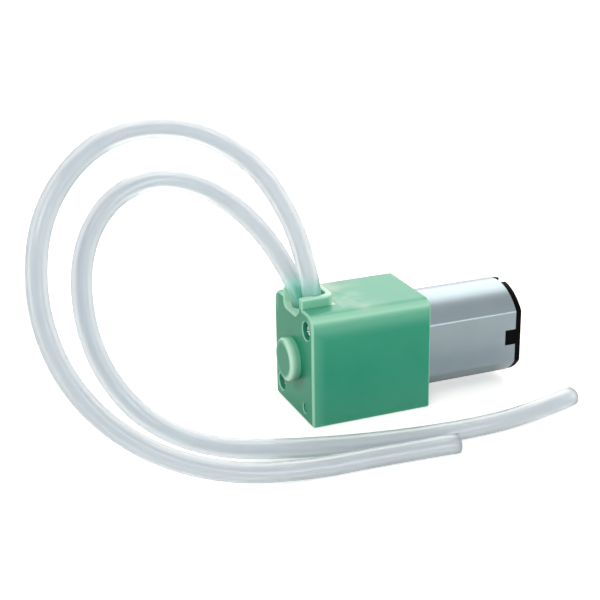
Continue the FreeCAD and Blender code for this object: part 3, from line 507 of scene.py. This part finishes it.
def greenFinish(facts, zones):
    finish = Finish("moulded green plastic")
    along, across, height = finish.place.parts()
    turnX, _, turnZ = finish.facing.parts()
    side = abs(across)

    # rounded edges, told by normals that lie between two faces; they carry a painted highlight
    aroundEnd = 1 - abs(turnX).atLeast((1 - turnX * turnX) ** 0.5)
    aroundTop = 1 - abs(turnZ).atLeast((1 - turnZ * turnZ) ** 0.5)
    outside = side.rising(*zones["sideFace"]).atLeast(height.rising(*zones["topFace"]))
    outside = outside.atLeast(height.falling(*zones["underside"]))
    outside = outside * along.rising(*zones["frontFace"])
    rounding = aroundEnd.atLeast(aroundTop * outside).rising(*zones["edgeRound"])
    shoulder = height.rising(*zones["shoulderHeight"]) * side.rising(*zones["shoulderSide"])
    cornerGlow = along.falling(*zones["cornerReach"]) * side.rising(*zones["cornerSide"])

    # the slot and the collar
    slotWalls = height.rising(*zones["slotHeight"]) * side.falling(*zones["slotSide"])
    slotWalls = slotWalls * along.falling(*zones["slotReach"])
    slotWalls = slotWalls * turnX.rising(*zones["slotFacing"])
    notchLip = along.falling(*zones["lipReach"]) * height.rising(*zones["lipHeight"])
    collar = height.rising(*zones["collarFoot"])

    # the boss and the wall round it
    rise = height - facts["axisHeight"]
    fromAxis = (across * across + rise * rise) ** 0.5
    boss = along.falling(*zones["bossReach"])
    bossSide = boss * height.rising(*zones["bossHeight"]) * turnX.rising(*zones["bossFacing"])
    bossRim = fromAxis.rising(*zones["rimRadius"]) * along.falling(*zones["rimReach"])
    # painted glow on the boss side and on one side of its rim
    bossGlow = bossSide * along.falling(*zones["glowReach"])
    bossGlow = bossGlow.atLeast(bossRim * across.falling(*zones["glowSide"]))
    # painted shadow on the wall below the boss, on the near side only
    shadowUnderBoss = fromAxis.falling(*zones["shadeRadius"]) * height.falling(*zones["shadeHeight"])
    shadowUnderBoss = shadowUnderBoss * across.falling(*zones["shadeSide"]) * (1 - boss)

    shares = facts["shares"]
    # painted light shining through thin plastic: slot walls, collar, shoulders, the boss side and
    # rim and the near corners lighter
    shineThrough = slotWalls.atLeast(collar).atLeast(shares["shoulderShineThrough"] * shoulder)
    shineThrough = shineThrough.atLeast(bossSide).atLeast(shares["cornerShineThrough"] * cornerGlow).atLeast(bossRim)
    # painted highlight on rounded edges, the notch lip, the boss rim, the slot walls and the
    # collar top
    edgeHighlight = rounding - shares["shoulderTop"] * shoulder * turnZ.rising(*zones["upFacing"])
    edgeHighlight = edgeHighlight.atLeast(notchLip).atLeast(bossGlow).atLeast(shares["slotEdge"] * slotWalls)
    edgeHighlight = edgeHighlight.atLeast(shares["collarTopEdge"] * height.rising(*zones["collarTop"]))
    edgeHighlight = edgeHighlight.atLeast(shares["collarEdge"] * collar)
    # painted glow on the boss, the slot walls and the collar rim
    glow = bossGlow.atLeast(shares["slotGlow"] * slotWalls)
    glow = glow.atLeast(shares["collarRimGlow"] * height.rising(*zones["collarRim"]))
    # painted sheen in cloudy patches on the top face behind the collar, where the surface is also
    # rougher
    cloud = finish.noise(*facts["cloud"]).rising(*zones["sheenCloud"])
    behindCollar = along.falling(*zones["sheenRear"]) * along.rising(*zones["sheenFront"])
    sheenPatches = cloud * behindCollar * turnZ.rising(*zones["sheenFacing"])
    sheenPatches = sheenPatches * height.rising(*zones["sheenHeight"])

    flow = finish.noise(*facts["flow"])
    colour = finish.mixed(flow, facts["deep"], facts["plain"])
    masks = {
        # painted floor reflection, lighter towards the bottom
        "low": height.falling(*zones["floorReflectionHeight"]),
        # painted shade on the faces that look towards the boss end
        "front": turnX.falling(*zones["frontFacing"]),
        "shineThrough": shineThrough,
        "shade": shadowUnderBoss,
        "edge": edgeHighlight,
        "glow": glow,
        "sheenPatches": sheenPatches,
    }
    for name, layer in facts["layers"].items():
        colour = finish.layered(colour, masks[name], layer)
    dull = facts["roughness"] + facts["flowRoughness"] * flow + facts["sheenPatchRoughness"] * sheenPatches
    grain = finish.noise(*facts["grain"]) + facts["pebbleShare"] * finish.noise(*facts["pebbles"])
    depths = tuple(share * facts["scatterDepth"] for share in facts["scatterShares"])
    return finish.surface(Base_Color=colour, Roughness=dull,
                          Normal=finish.bump(grain, *facts["grainBump"]),
                          Subsurface_Weight=facts["scatter"], Subsurface_Scale=1.0,
                          Subsurface_Radius=depths, Specular_IOR_Level=facts["shine"])


canFacts = {
    "dark": tint(146, 160, 167),
    "light": tint(157, 170, 176),
    "cloud": (320, 3),
    "lines": (1500, 4, 0.6),
    "stretch": (0.06, 1, 1),  # drawing lines run along the can
    "lineBump": (0.1, 0.000002),
    "roughness": 0.27,
    "lineRoughness": 0.12,
}


def canFinish(facts):
    finish = Finish("drawn steel")
    lines = finish.noise(*facts["lines"], finish.stretched(*facts["stretch"]))
    colour = finish.mixed(finish.noise(*facts["cloud"]), facts["dark"], facts["light"])
    dull = facts["roughness"] + facts["lineRoughness"] * lines
    return finish.surface(Base_Color=colour, Metallic=1.0, Roughness=dull,
                          Normal=finish.bump(lines, *facts["lineBump"]))


metalFacts = {
    "cloud": (500, 2),
    "grain": (3000, 3),
    "grainBump": (0.2, 0.000005),
    "grainRoughness": 0.12,
    "metallic": 1.0,
    "shine": 0.5,
}
plasticFacts = {
    "cloud": (400, 3),
    "grain": (7000, 3),
    "grainBump": (0.25, 0.00001),
    "grainRoughness": 0.1,
    "metallic": 0.0,
    "shine": 0.5,
}


def plainFinish(name, facts, dark, light, roughness):
    finish = Finish(name)
    grain = finish.noise(*facts["grain"])
    colour = finish.mixed(finish.noise(*facts["cloud"]), dark, light)
    return finish.surface(Base_Color=colour, Metallic=facts["metallic"],
                          Roughness=roughness + facts["grainRoughness"] * grain,
                          Normal=finish.bump(grain, *facts["grainBump"]),
                          Specular_IOR_Level=facts["shine"])


plainFinishes = {  # name, kind, dark tint, light tint, roughness
    "black_plastic": ("moulded black plastic", {**plasticFacts, "shine": 0.04},
                      tint(4, 4, 5), tint(8, 8, 9), 0.5),
    "gear_plastic": ("acetal", plasticFacts, tint(214, 211, 200), tint(228, 226, 216), 0.32),
    "screw_steel": ("plated steel", metalFacts, tint(128, 134, 130), tint(174, 180, 174), 0.16),
    "brass": ("turned brass", metalFacts, tint(178, 142, 82), tint(206, 172, 108), 0.24),
    "bronze": ("sintered bronze", {**metalFacts, "grain": (6000, 3)},
               tint(140, 104, 66), tint(170, 130, 86), 0.42),
    "magnet": ("ferrite", plasticFacts, tint(44, 44, 46), tint(62, 62, 64), 0.55),
    "copper": ("enamelled copper", metalFacts, tint(160, 84, 50), tint(190, 108, 70), 0.26),
    "tinned": ("tinned brass", metalFacts, tint(196, 196, 192), tint(220, 219, 214), 0.2),
}
finishes = {name: plainFinish(*facts) for name, facts in plainFinishes.items()}
finishes["green_plastic"] = greenFinish(greenFacts, greenZones)
finishes["steel"] = canFinish(canFacts)
finishes["silicone"] = silicone
for part in frame["record"]["subparts"]:
    for materialSlot in frame["nodes"][part["node"]].material_slots:
        materialSlot.material = finishes[part["material_slot"]]
print("finishes made")


# Housing screws

screwFacts = {
    "places": [(-0.006875, -0.0041, 0.01186), (-0.006875, 0.0041, 0.0022)],
    "turns": [math.radians(28), math.radians(71)],
    "values": {
        "Head Radius": 0.00085,
        "Head Height": 0.0004,
        "Crown": 0.00016,
        "Shank Radius": 0.00049,
        "Shank Length": 0.008,
        "Thread Pitch": 0.0004,
        "Thread Depth": 0.00009,
        "Cross Length": 0.00104,
        "Cross Width": 0.0002,
        "Cross Depth": 0.00034,
    },
    "counts": {
        "Head Sides": 40,
        "Head Rings": 3,
        "Crown Rings": 6,
        "Shank Sides": 20,
        "Shank Rings": 150,
    },
    "edge": {"width": 0.00003, "segments": 1, "angle": math.radians(35)},
}


def crossHead(board, given):  # a domed head, its underside on the ground, with a cross recess
    headRadius, headHeight = given["Head Radius"], given["Head Height"]
    head = board.add("GeometryNodeMeshCylinder", {"fill_type": "TRIANGLE_FAN"}, {
        "Vertices": given["Head Sides"], "Side Segments": given["Head Rings"],
        "Fill Segments": given["Crown Rings"], "Radius": headRadius, "Depth": headHeight})
    x, y, z = board.add("GeometryNodeInputPosition").parts()
    reach = (x * x + y * y) / (headRadius * headRadius)
    onTop = board.add("FunctionNodeCompare", {"operation": "GREATER_THAN"},
                      {0: z, 1: headHeight * 0.4})  # the top lies at half the height
    lift = given["Crown"] * (1 - reach)
    head = board.add("GeometryNodeSetPosition", inputs={
        "Geometry": head, "Selection": onTop, "Offset": board.vector(0.0, 0.0, lift)})
    floor = headHeight * 0.5 + given["Crown"] - given["Cross Depth"]
    rise = board.vector(0.0, 0.0, floor + given["Cross Depth"])
    for first, second in (("Cross Length", "Cross Width"), ("Cross Width", "Cross Length")):
        size = board.vector(given[first], given[second], given["Cross Depth"] * 2)
        bar = board.add("GeometryNodeMeshCube", inputs={"Size": size})
        bar = board.add("GeometryNodeTransform", inputs={"Geometry": bar, "Translation": rise})
        head = board.add("GeometryNodeMeshBoolean",
                         {"operation": "DIFFERENCE", "solver": "EXACT"},
                         {"Mesh 1": head, "Mesh 2": bar})
    raised = board.vector(0.0, 0.0, headHeight * 0.5)
    return board.add("GeometryNodeTransform", inputs={"Geometry": head, "Translation": raised})


def threadedShank(board, given):  # hangs below the ground, with a thread that winds down it
    shank = board.add("GeometryNodeMeshCylinder", inputs={
        "Vertices": given["Shank Sides"], "Side Segments": given["Shank Rings"],
        "Fill Segments": 1, "Radius": given["Shank Radius"], "Depth": given["Shank Length"]})
    x, y, z = board.add("GeometryNodeInputPosition").parts()
    angle = board.add("ShaderNodeMath", {"operation": "ARCTAN2"}, {0: y, 1: x})
    phase = z / given["Thread Pitch"] * (2 * math.pi) + angle
    wave = board.add("ShaderNodeMath", {"operation": "SINE"}, {0: phase})
    shrink = given["Thread Depth"] / given["Shank Radius"] * (wave * 0.5 - 0.5)
    shank = board.add("GeometryNodeSetPosition", inputs={
        "Geometry": shank, "Offset": board.vector(x * shrink, y * shrink, 0.0)})
    lowered = board.vector(0.0, 0.0, 0 - given["Shank Length"] * 0.5)
    return board.add("GeometryNodeTransform", inputs={"Geometry": shank, "Translation": lowered})


def screwTree(facts):
    board, given = openTree("housing screws", "Places", facts["values"], facts["counts"])
    pieces = [threadedShank(board, given), crossHead(board, given)]
    join = board.tree.nodes.new("GeometryNodeJoinGeometry")
    for piece in pieces:
        board.tree.links.new(piece.socket, join.inputs[0])
    turn = board.add("GeometryNodeInputNamedAttribute", {"data_type": "FLOAT"}, {"Name": "turn"})
    facing = board.add("FunctionNodeEulerToRotation", inputs={0: (0.0, -math.pi / 2, 0.0)})
    spin = board.add("FunctionNodeAxisAngleToRotation",
                     inputs={"Axis": (0.0, 0.0, 1.0), "Angle": turn})
    whole = board.add("FunctionNodeRotateRotation", {"rotation_space": "LOCAL"},
                      {"Rotation": facing, "Rotate By": spin})
    placed = board.add("GeometryNodeInstanceOnPoints", inputs={
        "Points": given["Places"], "Instance": Wire(board, join.outputs[0]), "Rotation": whole})
    return closeTree(board, placed, given["Finish"])


def softenEdges(piece, width, segments, angle):
    bevel = piece.modifiers.new("bevel", "BEVEL")
    bevel.width = width
    bevel.segments = segments
    bevel.limit_method = "ANGLE"
    bevel.angle_limit = angle
    bakeModifiers(piece)
    for face in piece.data.polygons:
        face.use_smooth = True
    weigh = piece.modifiers.new("weighted", "WEIGHTED_NORMAL")
    weigh.weight = 50
    weigh.keep_sharp = True
    bakeModifiers(piece)


def makeScrews(facts, material):
    points = bpy.data.meshes.new("housingScrews")
    points.from_pydata(facts["places"], [], [])
    turns = points.attributes.new("turn", "FLOAT", "POINT")
    for item, turn in zip(turns.data, facts["turns"]):
        item.value = turn
    screws = makeObject("housingScrews", points)
    modifier = screws.modifiers.new("screws", "NODES")
    modifier.node_group = screwTree(facts)
    setInputs(modifier, {**facts["values"], **facts["counts"], "Finish": material})
    bakeModifiers(screws)
    softenEdges(screws, **facts["edge"])
    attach(screws, "pump_body")
    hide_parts("housing_screws")


makeScrews(screwFacts, finishes["screw_steel"])
print("screws made")


# End bell and its terminals

bellFacts = {
    "edge": {"width": 0.00007, "segments": 2, "angle": math.radians(28)},
    "flat": math.radians(0.8),
    "enlarged": 1000,  # flat faces are found more safely in a large mesh
}
lugFacts = {
    "cornerRadius": 0.0002,
    "cornerSteps": 8,
    "holeRadius": 0.0002,
    "holeSides": 24,
    "holePlace": 0.52,  # part of the lug's length
    "edge": 0.00004,
}


def mergedCopy(node, name, flat, enlarged):  # with the triangles of each flat face made one
    mesh = frame["nodes"][node].data.copy()
    mesh.name = name
    work = bmesh.new()
    work.from_mesh(mesh)
    bmesh.ops.remove_doubles(work, verts=work.verts, dist=mergeDistance)
    bmesh.ops.scale(work, vec=(enlarged,) * 3, verts=work.verts)
    bmesh.ops.dissolve_limit(work, angle_limit=flat, verts=work.verts, edges=work.edges)
    bmesh.ops.scale(work, vec=(1 / enlarged,) * 3, verts=work.verts)
    work.to_mesh(mesh)
    work.free()
    if mesh.attributes.get("custom_normal"):
        mesh.attributes.remove(mesh.attributes["custom_normal"])
    for face in mesh.polygons:
        face.use_smooth = False
    return makeObject(name, mesh)


def makeBell(facts, material):
    bell = mergedCopy("end_bell", "endBell", facts["flat"], facts["enlarged"])
    softenEdges(bell, **facts["edge"])
    bell.data.materials.clear()
    bell.data.materials.append(material)
    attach(bell, "pump_body")
    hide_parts("end_bell")


def lugOutline(facts, low, high):  # a tab with two round corners, seen from above
    half = (high.y - low.y) / 2
    radius = facts["cornerRadius"]
    places = [(low.x, -half), (low.x, half)]
    for side in (1, -1):
        for step in range(facts["cornerSteps"] + 1):
            angle = step / facts["cornerSteps"] * math.pi / 2
            reach = math.sin(angle) if side == 1 else math.cos(angle)
            spread = math.cos(angle) if side == 1 else math.sin(angle)
            across = half - radius + radius * spread
            places.append((high.x - radius + radius * reach, side * across))
    return places


def lugMesh(facts, low, high):
    data = bpy.data.curves.new("lugOutline", "CURVE")
    data.dimensions = "2D"
    data.fill_mode = "BOTH"
    data.extrude = (high.z - low.z) / 2 - facts["edge"]
    data.bevel_depth = facts["edge"]
    data.bevel_resolution = 1
    data.offset = -facts["edge"]
    middle = low.x + (high.x - low.x) * facts["holePlace"]
    turns = [step * 2 * math.pi / facts["holeSides"] for step in range(facts["holeSides"])]
    radius = facts["holeRadius"]
    circle = [(middle + radius * math.cos(turn), radius * math.sin(turn)) for turn in turns]
    for outline in (lugOutline(facts, low, high), circle):
        spline = data.splines.new("POLY")
        spline.points.add(len(outline) - 1)
        for point, (x, y) in zip(spline.points, outline):
            point.co = (x, y, 0, 1)
        spline.use_cyclic_u = True
    curve = makeObject("lugOutline", data)
    mesh = evaluatedMesh(curve)
    bpy.data.objects.remove(curve)
    mesh.transform(Matrix.Translation((0, 0, (low.z + high.z) / 2)))
    return mesh


def makeTerminals(facts, material):
    corners = [vertex.co for vertex in frame["nodes"]["terminals"].data.vertices]
    middle = (min(corner.z for corner in corners) + max(corner.z for corner in corners)) / 2
    lower = [corner for corner in corners if corner.z < middle]
    upper = [corner for corner in corners if corner.z > middle]
    work = bmesh.new()
    for group in (lower, upper):
        low = Vector([min(corner[axis] for corner in group) for axis in range(3)])
        high = Vector([max(corner[axis] for corner in group) for axis in range(3)])
        work.from_mesh(lugMesh(facts, low, high))
    bmesh.ops.remove_doubles(work, verts=work.verts, dist=mergeDistance)
    bmesh.ops.recalc_face_normals(work, faces=work.faces)
    mesh = bpy.data.meshes.new("terminalLugs")
    work.to_mesh(mesh)
    work.free()
    lugs = makeObject("terminalLugs", mesh)
    mesh.materials.append(material)
    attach(lugs, "pump_body")
    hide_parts("terminals")


makeBell(bellFacts, finishes["black_plastic"])
makeTerminals(lugFacts, finishes["tinned"])
print("end bell and terminals made")


# Stage: floor, background and lights

stageFacts = {
    "floorHalf": 1.2,
    "floorColour": (0.86, 0.86, 0.86, 1),
    "floorGlow": 0.5,
    "floorGloss": 0.2,
    "skyLight": 0.62,
    "skyTop": 0.78,
    "skyRise": (0.2, 0.75),
}


def makeFloor(facts):
    mesh = bpy.data.meshes.new("floor")
    half = facts["floorHalf"]
    corners = [(-half, -half, 0), (half, -half, 0), (half, half, 0), (-half, half, 0)]
    mesh.from_pydata(corners, [], [(0, 1, 2, 3)])
    floor = makeObject("floor", mesh)
    finish = Finish("floor")
    camera, glossy, through = finish.seenRays()
    shown = camera.atLeast(facts["floorGloss"] * glossy).atLeast(through)
    matt = finish.add("ShaderNodeBsdfDiffuse", inputs={"Color": facts["floorColour"]})
    glow = finish.add("ShaderNodeEmission", inputs={"Strength": shown * facts["floorGlow"]})
    both = finish.add("ShaderNodeAddShader", inputs={0: matt, 1: glow})
    finish.add("ShaderNodeOutputMaterial", inputs={"Surface": both})
    mesh.materials.append(finish.material)


def makeSky(facts):
    world = bpy.data.worlds.new("studio")
    scene.world = world
    world.use_nodes = True
    board = Board(world.node_tree)
    world.node_tree.nodes.clear()
    camera, glossy, through = board.seenRays()
    shown = camera.atLeast(glossy).atLeast(through)
    height = board.add("ShaderNodeTexCoord", output="Generated").parts()[2]
    glossLevel = 1 - (1 - facts["skyTop"]) * height.rising(*facts["skyRise"])
    seenLevel = camera.atLeast(through).atLeast(glossLevel)
    level = facts["skyLight"] + shown * (seenLevel - facts["skyLight"])
    sky = board.add("ShaderNodeBackground", inputs={"Color": (1, 1, 1, 1), "Strength": level})
    board.add("ShaderNodeOutputWorld", inputs={"Surface": sky})


lampFacts = {
    "backSoftbox": {"place": (0.15, 0.29, 0.28), "side": 0.42, "power": 1.14,
                    "colour": (1, 0.96, 0.9)},
    "leftSoftbox": {"place": (-0.22, -0.22, 0.3), "side": 0.2, "power": 0.5,
                    "colour": (1, 0.97, 0.86)},
    "lowSoftbox": {"place": (0.17, -0.4, 0.1), "side": 0.16, "power": 0.22,
                   "colour": (1, 1, 1)},
}
lampTarget = (0, 0, 0.01)


def makeLamp(name, place, side, power, colour):
    data = bpy.data.lights.new(name, "AREA")
    data.shape = "SQUARE"
    data.size = side
    data.energy = power
    data.color = colour
    lamp = bpy.data.objects.new(name, data)
    scene.collection.objects.link(lamp)
    lamp.location = place
    away = Vector(place) - Vector(lampTarget)
    lamp.rotation_euler = away.to_track_quat("Z", "Y").to_euler()


makeFloor(stageFacts)
makeSky(stageFacts)
for lampName, lampValues in lampFacts.items():
    makeLamp(lampName, **lampValues)
print("stage set")

scene.view_settings.view_transform = "Standard"
